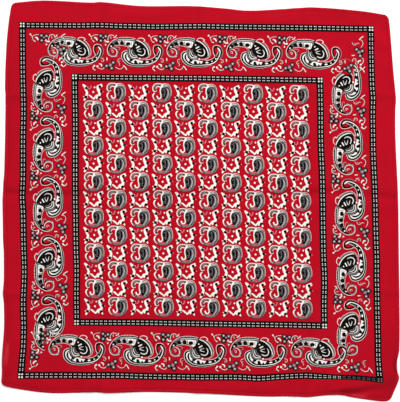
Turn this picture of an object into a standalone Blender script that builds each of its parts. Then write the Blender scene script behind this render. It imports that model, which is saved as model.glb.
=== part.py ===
"""A square printed cotton bandana, laid out flat: one panel of cloth and its four turned hems.

The cloth is drawn on a true square, p to the right and q away, and then laid on the surface:
its sides bow and its corners drift as soft cloth does, and it lifts off the surface in the
folds it was stored in and in a few ripples near its corners. Underneath it is flat wherever
it rests.
"""
import math

import bmesh
import bpy

MM = 0.001

# Driving dimensions, in metres.
SIDE = 0.535               # hemmed square, edge to edge
HEM_WIDTH = 0.0045         # narrow hem, turned twice
CLOTH_WALL = 0.0010        # one layer, thickened to a wall that holds
HEM_WALL = 0.0016          # three layers in the hem
SEAM_GAP = 0.00035         # between the panel and a hem, and between two hems at a mitre
CORNER_RADIUS = 0.0060     # hem corners, soft from turning
HEM_EDGE_ROUND = 0.0004    # the rounded fold of the hem
REST_LEVEL = 0.00015       # lifts lower than this lie flat on the surface
MIDDLE_X = 0.00087         # middle of the laid cloth's box, which is the part's origin,
MIDDLE_Y = 0.00011         # measured from the middle of the true square

HALF = SIDE / 2
INSIDE = HALF - HEM_WIDTH  # the panel's own half side

# How each side lies. along: the place on that side, right or away from the middle.
# out: how far the edge lies outside the true square there. Both in millimetres.
# The first and last rows of a table are the two corners.
TOP_EDGE = (
    # along, out
    (-263.5, 9.6),
    (-218.0, 13.1),
    (-151.0, 10.0),
    (-139.0, 11.0),
    (-84.0, 5.5),
    (-8.0, 5.1),
    (34.0, 2.0),
    (67.0, -1.2),
    (118.0, 1.2),
    (160.0, 3.4),
    (227.0, -1.9),
    (263.5, -7.7),
)
RIGHT_EDGE = (
    # along, out
    (-280.0, -1.5),
    (-273.0, 1.3),
    (-248.0, 10.7),
    (-238.0, 8.3),
    (-226.0, 8.0),
    (-206.0, 11.5),
    (-80.0, 10.8),
    (8.0, 9.4),
    (88.0, 5.9),
    (126.0, 5.8),
    (143.0, 6.6),
    (181.0, 3.1),
    (240.0, -1.6),
    (259.8, -4.0),
)
BOTTOM_EDGE = (
    # along, out
    (-278.3, -9.9),
    (-252.0, -4.0),
    (-207.0, 1.4),
    (-148.0, 0.2),
    (-126.0, 1.2),
    (-84.0, -0.2),
    (0.0, 1.6),
    (92.0, 6.3),
    (126.0, 5.9),
    (147.0, 7.0),
    (193.0, 3.7),
    (218.0, 8.0),
    (252.0, 12.8),
    (266.0, 12.5),
)
LEFT_EDGE = (
    # along, out
    (-257.4, 10.8),
    (-246.0, 9.7),
    (-220.0, 9.4),
    (-174.0, 6.6),
    (-144.0, 7.0),
    (-127.0, 8.2),
    (-111.0, 7.0),
    (-73.0, 7.0),
    (-52.0, 8.2),
    (11.0, 8.3),
    (41.0, 6.3),
    (148.0, 4.4),
    (158.0, 5.4),
    (217.0, 3.3),
    (251.0, 0.0),
    (277.1, -4.0),
)

# Storage folds, a row for each: the cloth was kept folded in quarters both ways.
# start, end: where the fold meets the left and right sides, or the bottom and top ones, on
# the true square. height: how far its shoulders or its crest stand up. reach: half its width.
CROSS_FOLDS = (
    # kind, start, end, height, reach, all in millimetres
    ("ridge", -141.0, -115.0, 2.0, 7.0),
    ("trough", 4.0, 15.5, 2.4, 9.0),
    ("ridge", 135.0, 154.0, 1.6, 7.0),
)
LENGTH_FOLDS = (
    # kind, start, end, height, reach, all in millimetres
    ("trough", -135.5, -139.0, 1.5, 8.0),
    ("ridge", 2.0, 2.0, 1.8, 6.0),
    ("trough", 144.5, 144.0, 1.9, 8.0),
)

# Ripples, a row for each: a soft ridge that runs at turn degrees from p, fading at its ends.
RIPPLES = (
    # p, q, turn, half length, half width, height, lengths in millimetres
    (235.0, -243.0, 27.0, 52.0, 12.0, 4.6),
    (190.0, -247.0, 8.0, 36.0, 11.0, 2.2),
    (257.0, -180.0, 86.0, 44.0, 8.0, 2.6),
    (-256.0, -205.0, 88.0, 60.0, 8.0, 3.4),
    (-238.0, -259.0, 4.0, 46.0, 7.0, 2.2),
    (-120.0, -258.0, -8.0, 44.0, 10.0, 2.4),
    (60.0, -256.0, 6.0, 55.0, 10.0, 2.6),
    (90.0, 254.0, -5.0, 60.0, 11.0, 2.8),
    (-70.0, 257.0, 4.0, 48.0, 9.0, 2.2),
    (-258.0, 70.0, 92.0, 55.0, 8.0, 2.2),
    (258.0, 60.0, 88.0, 60.0, 8.0, 2.4),
    (236.0, 240.0, -38.0, 30.0, 9.0, 2.6),
)

# The woven grid that the solids are cut from.
FOLD_LINES = (0.0, 0.0055, 0.013, 0.025)   # lines at, and on both sides of, each fold
CORNER_LINES = (0.0, 0.0025, 0.006)        # lines in from each edge, for the soft corners
LINE_SPACING = 0.0165                      # the widest that two lines are apart


def through(rows, at):
    """A smooth curve through the rows of a table, read at one place along it."""
    last = len(rows) - 1
    step = 0
    while step < last - 1 and at > rows[step + 1][0]:
        step += 1
    before = rows[max(step - 1, 0)]
    start = rows[step]
    end = rows[step + 1]
    after = rows[min(step + 2, last)]
    span = end[0] - start[0]
    slope_in = (end[1] - before[1]) / (end[0] - before[0])
    slope_out = (after[1] - start[1]) / (after[0] - start[0])
    t = min(max((at - start[0]) / span, 0.0), 1.0)
    rise = end[1] - start[1]
    bend = span * slope_in - rise
    turn = rise - span * slope_out
    return start[1] + t * rise + t * (1 - t) * ((1 - t) * bend + t * turn)


def laid_side(rows, share):
    """Along and out in metres, at a share of the way from a side's first corner to its last."""
    along = rows[0][0] + share * (rows[-1][0] - rows[0][0])
    return along * MM, HALF + through(rows, along) * MM


def rounded_corner(p, q):
    """Draws the true square's corners in to a round of CORNER_RADIUS."""
    straight = HALF - CORNER_RADIUS
    s = max(abs(p) - straight, 0.0) / CORNER_RADIUS
    t = max(abs(q) - straight, 0.0) / CORNER_RADIUS
    if s == 0.0 or t == 0.0:
        return p, q
    s_round = s * math.sqrt(1 - t * t / 2)
    t_round = t * math.sqrt(1 - s * s / 2)
    p_round = math.copysign(straight + s_round * CORNER_RADIUS, p)
    q_round = math.copysign(straight + t_round * CORNER_RADIUS, q)
    return p_round, q_round


def spread(p, q):
    """Where a point of the true square lies, seen from above: a patch between the four sides."""
    p, q = rounded_corner(p, q)
    u = (p + HALF) / SIDE
    v = (q + HALF) / SIDE
    top_x, top_y = laid_side(TOP_EDGE, u)
    bottom_x, bottom_out = laid_side(BOTTOM_EDGE, u)
    right_y, right_x = laid_side(RIGHT_EDGE, v)
    left_y, left_out = laid_side(LEFT_EDGE, v)
    bottom_y = -bottom_out
    left_x = -left_out
    corners_x = (TOP_EDGE[0][0], TOP_EDGE[-1][0], BOTTOM_EDGE[0][0], BOTTOM_EDGE[-1][0])
    corners_y = (LEFT_EDGE[-1][0], RIGHT_EDGE[-1][0], LEFT_EDGE[0][0], RIGHT_EDGE[0][0])
    weights = ((1 - u) * v, u * v, (1 - u) * (1 - v), u * (1 - v))
    flat_x = sum(w * c for w, c in zip(weights, corners_x)) * MM
    flat_y = sum(w * c for w, c in zip(weights, corners_y)) * MM
    x = v * top_x + (1 - v) * bottom_x + (1 - u) * left_x + u * right_x - flat_x
    y = v * top_y + (1 - v) * bottom_y + (1 - u) * left_y + u * right_y - flat_y
    return x - MIDDLE_X, y - MIDDLE_Y


def fold_lift(fold, away, along):
    """Height of one storage fold, away from its line, and unevenly along it."""
    kind, start, end, height, reach = fold
    line = start + (end - start) * (along / SIDE + 0.5)
    off = (away / MM - line) / reach
    uneven = 0.75 + 0.25 * math.sin(along / MM / 41.0 + start)
    crest = math.exp(-off * off)
    if kind == "trough":
        crest = (1 - crest) * math.exp(-(off / 2.4) ** 2) * 1.6
    return crest * uneven * height * MM


def ripple_lift(ripple, p, q):
    """Height of one ripple at a point of the true square."""
    centre_p, centre_q, turn, half_length, half_width, height = ripple
    angle = math.radians(turn)
    dp = p / MM - centre_p
    dq = q / MM - centre_q
    along = (dp * math.cos(angle) + dq * math.sin(angle)) / half_length
    across = (dq * math.cos(angle) - dp * math.sin(angle)) / half_width
    return math.exp(-along ** 4 - across ** 2) * height * MM


def lift(p, q):
    """How far the cloth's underside is off the surface: zero where it rests."""
    height = sum(fold_lift(fold, q, p) for fold in CROSS_FOLDS)
    height += sum(fold_lift(fold, p, q) for fold in LENGTH_FOLDS)
    height += sum(ripple_lift(ripple, p, q) for ripple in RIPPLES)
    return max(height - REST_LEVEL, 0.0)


def lay(p, q):
    """Where a point of the true square's underside lies."""
    x, y = spread(p, q)
    return x, y, lift(p, q)


def grid_lines(folds, end):
    """Lines of the grid, each with its place at the start and at the end of the folds.

    The two ends and every fold get lines close beside them, and the cloth between is shared
    out evenly.
    """
    fixed = [(inset - end, inset - end) for inset in CORNER_LINES]
    for fold in sorted(folds, key=lambda row: row[1]):
        for offset in sorted({sign * line for line in FOLD_LINES for sign in (-1, 1)}):
            fixed.append((fold[1] * MM + offset, fold[2] * MM + offset))
    fixed.extend((end - inset, end - inset) for inset in reversed(CORNER_LINES))
    lines = [fixed[0]]
    for here, there in zip(fixed, fixed[1:]):
        widest = max(there[0] - here[0], there[1] - here[1])
        steps = max(math.ceil(widest / LINE_SPACING), 1)
        for step in range(1, steps + 1):
            share = step / steps
            start = here[0] + share * (there[0] - here[0])
            finish = here[1] + share * (there[1] - here[1])
            lines.append((start, finish))
    return lines


def crossing(length_line, cross_line):
    """Where a line that runs away from the viewer crosses one that runs from left to right."""
    p_slant = (length_line[1] - length_line[0]) / SIDE
    q_slant = (cross_line[1] - cross_line[0]) / SIDE
    p_middle = (length_line[0] + length_line[1]) / 2
    q_middle = (cross_line[0] + cross_line[1]) / 2
    p = (p_middle + p_slant * q_middle) / (1 - p_slant * q_slant)
    q = q_middle + q_slant * p
    return p, q


def finish_cloth(name, mesh_data, wall, colour, collection):
    """Turns an open cloth surface into a named wall, thickened upwards, in its own material."""
    cloth = bpy.data.objects.new(name, mesh_data)
    collection.objects.link(cloth)
    thicken = cloth.modifiers.new("wall", 'SOLIDIFY')
    thicken.thickness = wall
    thicken.offset = 1.0
    thicken.use_rim = True
    material = bpy.data.materials.new(name)
    material.use_nodes = True
    shader = material.node_tree.nodes["Principled BSDF"]
    shader.inputs["Base Color"].default_value = colour
    shader.inputs["Roughness"].default_value = 0.85
    shader.inputs["Metallic"].default_value = 0.0
    mesh_data.materials.append(material)
    return cloth


def woven_sheet(name, columns, rows, place):
    """An open sheet of squares: place(column, row) gives each corner of the true square."""
    sheet = bmesh.new()
    bmesh.ops.create_grid(sheet, x_segments=columns, y_segments=rows, size=1.0)
    for vertex in sheet.verts:
        column = round((vertex.co.x + 1) / 2 * columns)
        row = round((vertex.co.y + 1) / 2 * rows)
        vertex.co = lay(*place(column, row))
    mesh_data = bpy.data.meshes.new(name)
    sheet.to_mesh(mesh_data)
    sheet.free()
    mesh_data.shade_smooth()
    return mesh_data


def make_panel(collection):
    """The printed square of cotton inside the hems, its grid lines running along the folds."""
    end = INSIDE - SEAM_GAP
    length_lines = grid_lines(LENGTH_FOLDS, end)
    cross_lines = grid_lines(CROSS_FOLDS, end)

    def place(column, row):
        p, q = crossing(length_lines[column], cross_lines[row])
        return min(max(p, -end), end), min(max(q, -end), end)

    sheet = woven_sheet("cloth_panel", len(length_lines) - 1, len(cross_lines) - 1, place)
    finish_cloth("cloth_panel", sheet, CLOTH_WALL, (0.468, 0.007, 0.021, 1.0), collection)


def make_hem(name, side, collection):
    """One turned hem, mitred at both corners. side is the way it faces: +p, -p, +q or -q.

    Its places along the side are those of the panel's grid, so that the two edges run alike.
    """
    axis, sign = side
    end = INSIDE - SEAM_GAP
    lines = grid_lines(CROSS_FOLDS if axis == "p" else LENGTH_FOLDS, end)
    shares = [line[1 if sign > 0 else 0] / end for line in lines]
    across = 2
    mitre = SEAM_GAP / math.sqrt(2)

    def place(column, row):
        out = HALF - HEM_WIDTH * row / across
        along = shares[column] * (out - mitre)
        return (sign * out, along) if axis == "p" else (along, sign * out)

    sheet = woven_sheet(name, len(shares) - 1, across, place)
    if sheet.polygons[0].normal.z < 0:
        sheet.flip_normals()
    hem = finish_cloth(name, sheet, HEM_WALL, (0.430, 0.006, 0.019, 1.0), collection)
    soften = hem.modifiers.new("turned fold", 'BEVEL')
    soften.width = HEM_EDGE_ROUND
    soften.segments = 1
    soften.limit_method = 'ANGLE'
    soften.angle_limit = math.radians(50)


def make_bandana():
    """Builds the panel and the hems in a collection of their own."""
    for leftover in list(bpy.data.objects):
        bpy.data.objects.remove(leftover, do_unlink=True)
    collection = bpy.data.collections.new("bandana")
    bpy.context.scene.collection.children.link(collection)
    make_panel(collection)
    make_hem("hem_top", ("q", 1), collection)
    make_hem("hem_right", ("p", 1), collection)
    make_hem("hem_bottom", ("q", -1), collection)
    make_hem("hem_left", ("p", -1), collection)


make_bandana()
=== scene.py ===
"""A square printed cotton bandana, laid out flat on a pale surface.

One panel of thin woven cotton, dyed red and printed in black and white, with a narrow hem
turned and stitched along each side. Lengths in the tables are in millimetres.
"""
import math

import bpy
import numpy as np
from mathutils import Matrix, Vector
from mathutils.geometry import delaunay_2d_cdt


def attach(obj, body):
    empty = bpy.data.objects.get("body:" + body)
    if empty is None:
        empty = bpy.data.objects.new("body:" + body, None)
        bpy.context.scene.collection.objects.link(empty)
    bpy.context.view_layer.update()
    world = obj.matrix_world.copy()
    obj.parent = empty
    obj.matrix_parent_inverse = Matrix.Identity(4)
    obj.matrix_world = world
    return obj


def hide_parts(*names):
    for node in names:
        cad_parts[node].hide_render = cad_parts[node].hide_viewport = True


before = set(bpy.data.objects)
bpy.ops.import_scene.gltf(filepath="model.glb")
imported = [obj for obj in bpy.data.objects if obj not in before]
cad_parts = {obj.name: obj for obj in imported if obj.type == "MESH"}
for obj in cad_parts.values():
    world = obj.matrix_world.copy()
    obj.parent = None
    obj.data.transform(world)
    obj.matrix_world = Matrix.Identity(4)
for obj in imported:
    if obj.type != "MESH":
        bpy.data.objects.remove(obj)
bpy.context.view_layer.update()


# The cloth: one square of thin plain-weave cotton, dyed red right through. It is spread by
# hand, so its sides bow, its corners drift, and it still lifts along the folds it was
# stored in and in soft ripples by its corners.

MM = 0.001
SIDE = 0.535               # hemmed square, edge to edge
HALF = SIDE / 2
HEM_WIDTH = 0.0045
CORNER_RADIUS = 0.0060
REST_LEVEL = 0.00015       # lifts lower than this lie flat on the surface
MIDDLE_X = 0.00087         # middle of the laid cloth, from the middle of the true square
MIDDLE_Y = 0.00011
CLOTH_BACK = 0.00012       # underside of the cloth over the print's show-through
CLOTH_FACE = 0.00060       # face of the cloth

# How each side lies: the place along it, and how far it lies outside the true square there.
# The first and last rows of a table are the two corners.
TOP_EDGE = (
    # along, out
    (-263.5, 9.6), (-218.0, 13.1), (-151.0, 10.0), (-139.0, 11.0), (-84.0, 5.5), (-8.0, 5.1),
    (34.0, 2.0), (67.0, -1.2), (118.0, 1.2), (160.0, 3.4), (227.0, -1.9), (263.5, -7.7),
)
RIGHT_EDGE = (
    # along, out
    (-280.0, -1.5), (-273.0, 1.3), (-248.0, 10.7), (-238.0, 8.3), (-226.0, 8.0),
    (-206.0, 11.5), (-80.0, 10.8), (8.0, 9.4), (88.0, 5.9), (126.0, 5.8), (143.0, 6.6),
    (181.0, 3.1), (240.0, -1.6), (259.8, -4.0),
)
BOTTOM_EDGE = (
    # along, out
    (-278.3, -9.9), (-252.0, -4.0), (-207.0, 1.4), (-148.0, 0.2), (-126.0, 1.2),
    (-84.0, -0.2), (0.0, 1.6), (92.0, 6.3), (126.0, 5.9), (147.0, 7.0), (193.0, 3.7),
    (218.0, 8.0), (252.0, 12.8), (266.0, 12.5),
)
LEFT_EDGE = (
    # along, out
    (-257.4, 10.8), (-246.0, 9.7), (-220.0, 9.4), (-174.0, 6.6), (-144.0, 7.0),
    (-127.0, 8.2), (-111.0, 7.0), (-73.0, 7.0), (-52.0, 8.2), (11.0, 8.3), (41.0, 6.3),
    (148.0, 4.4), (158.0, 5.4), (217.0, 3.3), (251.0, 0.0), (277.1, -4.0),
)

# Storage folds: the cloth was kept folded in quarters both ways. start, end: where the fold
# meets the left and right sides, or the bottom and top ones. painted shade: how much the colour
# is painted darker along the crease, for the shade that falls in it, at those two ends.
CROSS_FOLDS = (
    # kind, start, end, height, reach, painted shade at the start, painted shade at the end
    ("ridge", -141.0, -115.0, 2.0, 7.0, 0.75, 0.15),
    ("trough", 4.0, 15.5, 2.4, 9.0, 1.3, 0.9),
    ("ridge", 135.0, 154.0, 1.6, 7.0, 0.7, 0.45),
)
LENGTH_FOLDS = (
    # kind, start, end, height, reach, painted shade at the start, painted shade at the end
    ("trough", -135.5, -139.0, 1.5, 8.0, 0.30, 0.20),
    ("ridge", 2.0, 2.0, 1.8, 6.0, 0.30, 0.30),
    ("trough", 144.5, 144.0, 1.9, 8.0, 0.30, 0.10),
)

# Ripples: soft ridges that run at turn degrees from p and fade at their ends.
RIPPLES = (
    # p, q, turn, half length, half width, height
    (235.0, -243.0, 27.0, 52.0, 12.0, 4.6),
    (190.0, -247.0, 8.0, 36.0, 11.0, 2.2),
    (257.0, -180.0, 86.0, 44.0, 8.0, 2.6),
    (-256.0, -205.0, 88.0, 60.0, 8.0, 3.4),
    (-238.0, -259.0, 4.0, 46.0, 7.0, 2.2),
    (-120.0, -258.0, -8.0, 44.0, 10.0, 2.4),
    (60.0, -256.0, 6.0, 55.0, 10.0, 2.6),
    (90.0, 254.0, -5.0, 60.0, 11.0, 2.8),
    (-70.0, 257.0, 4.0, 48.0, 9.0, 2.2),
    (-258.0, 70.0, 92.0, 55.0, 8.0, 2.2),
    (258.0, 60.0, 88.0, 60.0, 8.0, 2.4),
    (236.0, 240.0, -38.0, 30.0, 9.0, 2.6),
    (224.0, -258.0, 17.0, 25.0, 4.5, -2.4),
    (-264.0, -224.0, 88.0, 17.0, 3.6, 2.6),
)

# Painted shade and painted highlights: places where the colour is painted darker to stand for
# the shade in small creases and hollows, most of them at the two near corners, and in a few broad
# patches. Where the last number is below 0 the colour is painted paler, a painted highlight on a ridge.
PAINTED_SHADES_AND_HIGHLIGHTS = (
    # p, q, turn, half length, half width, painted shade (below 0, painted highlight)
    (225.0, 258.0, 0.0, 70.0, 12.0, 0.45),
    (-258.0, 120.0, 90.0, 90.0, 10.0, 0.35),
    (192.0, -263.0, 6.0, 16.0, 3.4, 1.4),
    (210.0, -259.0, 15.0, 13.0, 2.8, 1.9),
    (226.0, -253.0, 22.0, 12.0, 3.0, 0.9),
    (241.0, -257.0, 14.0, 18.0, 3.0, -0.3),
    (258.0, -225.0, 90.0, 60.0, 18.0, 0.4),
    (252.0, -238.0, 4.0, 24.0, 16.0, 0.4),
    (265.0, -216.0, 89.0, 13.0, 1.7, 2.6),
    (-262.2, -224.0, 86.0, 15.0, 2.6, -1.1),
    (-254.0, -222.0, 87.0, 22.0, 3.6, 0.35),
    (-260.0, -251.5, 44.0, 10.0, 2.6, 0.9),
    (-240.0, -256.0, 10.0, 24.0, 6.0, 0.45),
    (-221.5, -266.0, -10.0, 10.0, 1.6, 0.6),
    (222.0, -263.5, -2.0, 11.0, 1.6, -1.3),
    (265.0, -234.6, 90.0, 5.0, 1.4, -1.4),
)

# Slack: long low waves that soft cloth keeps between its folds.
SLACK_WAVES = (
    # length of the wave, turn, start of the wave, height
    (61.0, 23.0, 0.4, 0.13),
    (83.0, 74.0, 2.1, 0.16),
    (47.0, 131.0, 4.4, 0.09),
    (112.0, 158.0, 1.3, 0.18),
)


def through(rows, at):
    """A smooth curve through the rows of a table, read at many places along it."""
    rows = np.array(rows)
    last = len(rows) - 1
    step = np.clip(np.searchsorted(rows[:, 0], at, side="left") - 1, 0, last - 1)
    before = rows[np.maximum(step - 1, 0)]
    start = rows[step]
    end = rows[step + 1]
    after = rows[np.minimum(step + 2, last)]
    span = end[..., 0] - start[..., 0]
    rise = end[..., 1] - start[..., 1]
    slope_in = (end[..., 1] - before[..., 1]) / (end[..., 0] - before[..., 0])
    slope_out = (after[..., 1] - start[..., 1]) / (after[..., 0] - start[..., 0])
    t = np.clip((at - start[..., 0]) / span, 0.0, 1.0)
    bend = span * slope_in - rise
    turn = rise - span * slope_out
    return start[..., 1] + t * rise + t * (1 - t) * ((1 - t) * bend + t * turn)


def laid_side(rows, share):
    """Along and out in metres, at a share of the way from a side's first corner to its last."""
    along = rows[0][0] + share * (rows[-1][0] - rows[0][0])
    return along * MM, HALF + through(rows, along) * MM


def rounded_corner(p, q):
    """Draws the true square's corners in to a round of CORNER_RADIUS."""
    straight = HALF - CORNER_RADIUS
    s = np.maximum(np.abs(p) - straight, 0.0) / CORNER_RADIUS
    t = np.maximum(np.abs(q) - straight, 0.0) / CORNER_RADIUS
    in_corner = (s > 0) & (t > 0)
    s_round = s * np.sqrt(np.maximum(1 - t * t / 2, 0.0))
    t_round = t * np.sqrt(np.maximum(1 - s * s / 2, 0.0))
    p_round = np.copysign(straight + s_round * CORNER_RADIUS, p)
    q_round = np.copysign(straight + t_round * CORNER_RADIUS, q)
    return np.where(in_corner, p_round, p), np.where(in_corner, q_round, q)


def spread(p, q):
    """Where places of the true square lie, seen from above: a patch between the four sides."""
    p, q = rounded_corner(p, q)
    u = (p + HALF) / SIDE
    v = (q + HALF) / SIDE
    top_x, top_y = laid_side(TOP_EDGE, u)
    bottom_x, bottom_out = laid_side(BOTTOM_EDGE, u)
    right_y, right_x = laid_side(RIGHT_EDGE, v)
    left_y, left_out = laid_side(LEFT_EDGE, v)
    corners_x = (TOP_EDGE[0][0], TOP_EDGE[-1][0], BOTTOM_EDGE[0][0], BOTTOM_EDGE[-1][0])
    corners_y = (LEFT_EDGE[-1][0], RIGHT_EDGE[-1][0], LEFT_EDGE[0][0], RIGHT_EDGE[0][0])
    weights = ((1 - u) * v, u * v, (1 - u) * (1 - v), u * (1 - v))
    flat_x = sum(w * c for w, c in zip(weights, corners_x)) * MM
    flat_y = sum(w * c for w, c in zip(weights, corners_y)) * MM
    x = v * top_x + (1 - v) * bottom_x - (1 - u) * left_out + u * right_x - flat_x
    y = v * top_y - (1 - v) * bottom_out + (1 - u) * left_y + u * right_y - flat_y
    return x - MIDDLE_X, y - MIDDLE_Y


CLOSING_ROUNDS = 14        # finds a place far closer than the width of a thread


def on_the_square(x, y):
    """The place of the true square that lies at x, y: spread() read backwards."""
    p, q = x, y
    for _ in range(CLOSING_ROUNDS):
        found_x, found_y = spread(p, q)
        p = p + (x - found_x)
        q = q + (y - found_y)
    return p, q


def off_fold(fold, away, along):
    """How far a place is from a fold's line, in millimetres."""
    start, end = fold[1], fold[2]
    return away / MM - start - (end - start) * (along / SIDE + 0.5)


LIFT_VARIES = 0.25         # how far a fold's height varies along it
LIFT_WAVE = 41.0           # the length of that variation, over tau
TROUGH_REACH = 2.4         # how much further than a ridge a trough reaches, with its shoulders
SHOULDERS = 1.6            # brings the tops of the shoulders to about the height in the table


def uneven(along, varies, wave, start):
    """A share of 1 or less that varies slowly along a fold."""
    return 1 - varies + varies * np.sin(along / MM / wave + start)


def fold_lift(fold, away, along):
    """Height of one storage fold, away from its line, and unevenly along it."""
    kind, start, end, height, reach = fold[:5]
    off = off_fold(fold, away, along) / reach
    shape = np.exp(-off * off)
    if kind == "trough":
        shape = (1 - shape) * np.exp(-(off / TROUGH_REACH) ** 2) * SHOULDERS
    return shape * uneven(along, LIFT_VARIES, LIFT_WAVE, start) * height * MM


def crest(row, p, q):
    """The row's last number along the line it sets out, fading to 0 away from it."""
    centre_p, centre_q, turn, half_length, half_width, most = row
    angle = math.radians(turn)
    dp = p / MM - centre_p
    dq = q / MM - centre_q
    along = (dp * math.cos(angle) + dq * math.sin(angle)) / half_length
    across = (dq * math.cos(angle) - dp * math.sin(angle)) / half_width
    return np.exp(-along ** 4 - across ** 2) * most


def slack_lift(p, q):
    """The long low waves, never below zero."""
    height = 0.0
    for length, turn, start, size in SLACK_WAVES:
        angle = math.radians(turn)
        place = (p * math.cos(angle) + q * math.sin(angle)) / MM
        height = height + size * np.sin(math.tau * place / length + start)
    return np.maximum(height, 0.0) * MM


def lift(p, q):
    """How far the cloth is off the surface: zero where it rests."""
    height = sum(fold_lift(fold, q, p) for fold in CROSS_FOLDS)
    height = height + sum(fold_lift(fold, p, q) for fold in LENGTH_FOLDS)
    height = height + sum(crest(ripple, p, q) for ripple in RIPPLES) * MM
    return np.maximum(height - REST_LEVEL, 0.0) + slack_lift(p, q)


def lay(p, q, height):
    """Vertices of the laid cloth at places of the true square, a height above its back."""
    x, y = spread(p, q)
    return np.stack((x, y, lift(p, q) + height), axis=-1)


FOLD_LINES = (0.0, 0.7, 1.6, 2.8, 4.3, 6.2, 8.5)   # lines at, and on both sides of, each fold
LINE_SPACING = 2.75                                # the widest that two lines are apart


def grid_lines(folds, end):
    """Lines of the cloth's grid: where each meets the first side and the second."""
    fixed = [(-end, -end)]
    for fold in sorted(folds, key=lambda row: row[1]):
        for offset in sorted({sign * line for line in FOLD_LINES for sign in (-1, 1)}):
            fixed.append(((fold[1] + offset) * MM, (fold[2] + offset) * MM))
    fixed.append((end, end))
    lines = [fixed[0]]
    for here, there in zip(fixed, fixed[1:]):
        widest = max(there[0] - here[0], there[1] - here[1])
        steps = max(math.ceil(widest / LINE_SPACING / MM), 1)
        for step in range(1, steps + 1):
            share = step / steps
            lines.append(tuple(a + share * (b - a) for a, b in zip(here, there)))
    return np.array(lines)


def crossings(length_lines, cross_lines):
    """Every place where a line of one set crosses a line of the other, as two square arrays."""
    first, second = length_lines[:, None, 0], length_lines[:, None, 1]
    near, far = cross_lines[None, :, 0], cross_lines[None, :, 1]
    p_slant = (second - first) / SIDE
    q_slant = (far - near) / SIDE
    p_middle = (first + second) / 2
    q_middle = (near + far) / 2
    p = (p_middle + p_slant * q_middle) / (1 - p_slant * q_slant)
    return p, q_middle + q_slant * p


def closed_shell(face, back):
    """Vertices and faces of a closed sheet, from the same grid of places on its two sides."""
    columns, rows = face.shape[:2]
    count = columns * rows
    number = np.arange(count).reshape(columns, rows)
    quads = np.stack((number[:-1, :-1], number[1:, :-1], number[1:, 1:], number[:-1, 1:]), axis=-1)
    quads = quads.reshape(-1, 4)
    rim = np.concatenate((number[:, 0], number[-1, 1:], number[-2::-1, -1], number[0, -2::-1]))
    sides = np.stack((rim[:-1] + count, rim[1:] + count, rim[1:], rim[:-1]), axis=-1)
    faces = np.concatenate((quads, quads[:, ::-1] + count, sides))
    return np.concatenate((face.reshape(-1, 3), back.reshape(-1, 3))), faces


FLAT_LAYOUT = 0.6          # side of the square of table that every piece's flat layout covers


def make_piece(name, vertices, faces, material, painted_light=None):
    """A piece of the bandana from arrays: it rides on the cloth's one body and lies flat in UV."""
    mesh = bpy.data.meshes.new(name)
    mesh.vertices.add(len(vertices))
    mesh.vertices.foreach_set("co", np.asarray(vertices, dtype=np.float32).ravel())
    corners = faces.shape[1]
    mesh.loops.add(faces.size)
    mesh.loops.foreach_set("vertex_index", faces.astype(np.int32).ravel())
    mesh.polygons.add(len(faces))
    mesh.polygons.foreach_set("loop_start", np.arange(0, faces.size, corners, dtype=np.int32))
    flat = mesh.uv_layers.new(name="OFBake")
    places = np.asarray(vertices)[faces.ravel(), :2] / FLAT_LAYOUT + 0.5
    flat.data.foreach_set("uv", places.astype(np.float32).ravel())
    # the crease attribute carries the painted shade and painted highlights to the material
    if painted_light is not None:
        crease = mesh.attributes.new("crease", 'FLOAT', 'POINT')
        crease.data.foreach_set("value", np.asarray(painted_light, dtype=np.float32).ravel())
    mesh.update(calc_edges=True)
    mesh.validate()
    mesh.shade_smooth()
    mesh.materials.append(material)
    piece = bpy.data.objects.new(name, mesh)
    bpy.context.scene.collection.objects.link(piece)
    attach(piece, "root")
    return piece


THREAD_PITCH = 0.00042     # from one thread to the next, both ways
SLUB_LENGTH = 0.012        # how far a thicker place in a thread runs
DYE_PATCH = 0.045          # size of the patches where the dye took a little more or less
CREASE_SHADE = 0.80        # how much of the colour is left under a full painted shade along a sharp crease
CREASE_VARIES = 0.8        # how far that varies from patch to patch
PAINTED_HIGHLIGHT_WHITE = 0.018       # how much white is painted on as a highlight where the painted shade is below 0
SLUB_RELIEF = 0.5          # how far the slubs stand up, as a share of a thread
ROUGHNESS = 0.9            # of the cotton, which hardly shines
GLOSS = 0.06
FUZZ_ROUGHNESS = 0.6       # of the fine fuzz that catches the light


def linked(tree, kind, **inputs):
    """A node of the tree: its settings, or what is linked or set on its sockets by name."""
    node = tree.nodes.new(kind)
    for label, value in inputs.items():
        socket = label.replace("_", " ")
        if hasattr(node, label) and label not in node.inputs:
            setattr(node, label, value)
        elif isinstance(value, bpy.types.NodeSocket):
            tree.links.new(value, node.inputs[socket])
        else:
            node.inputs[socket].default_value = value
    return node


def sum_up(tree, operation, first, second=0.0, third=0.0):
    """The result of one step of arithmetic in a material."""
    node = tree.nodes.new("ShaderNodeMath")
    node.operation = operation
    for place, value in enumerate((first, second, third)):
        if isinstance(value, bpy.types.NodeSocket):
            tree.links.new(value, node.inputs[place])
        else:
            node.inputs[place].default_value = value
    return node.outputs[0]


def noise(tree, place, scale, stretch=(1.0, 1.0, 1.0)):
    """A soft random value between 0 and 1 that varies over scale metres."""
    spot = linked(tree, "ShaderNodeMapping", Vector=place, Scale=stretch)
    grain = linked(tree, "ShaderNodeTexNoise", Vector=spot.outputs[0], Scale=1 / scale, Detail=2.0)
    return grain.outputs[0]


def mixed(tree, blend, first, second):
    """Two colours put together in full by one kind of blend."""
    mix = linked(tree, "ShaderNodeMix", data_type='RGBA', blend_type=blend)
    mix.inputs[0].default_value = 1.0
    for place, value in ((6, first), (7, second)):
        if isinstance(value, bpy.types.NodeSocket):
            tree.links.new(value, mix.inputs[place])
        else:
            mix.inputs[place].default_value = (*value, 1.0)
    return mix.outputs[2]


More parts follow.
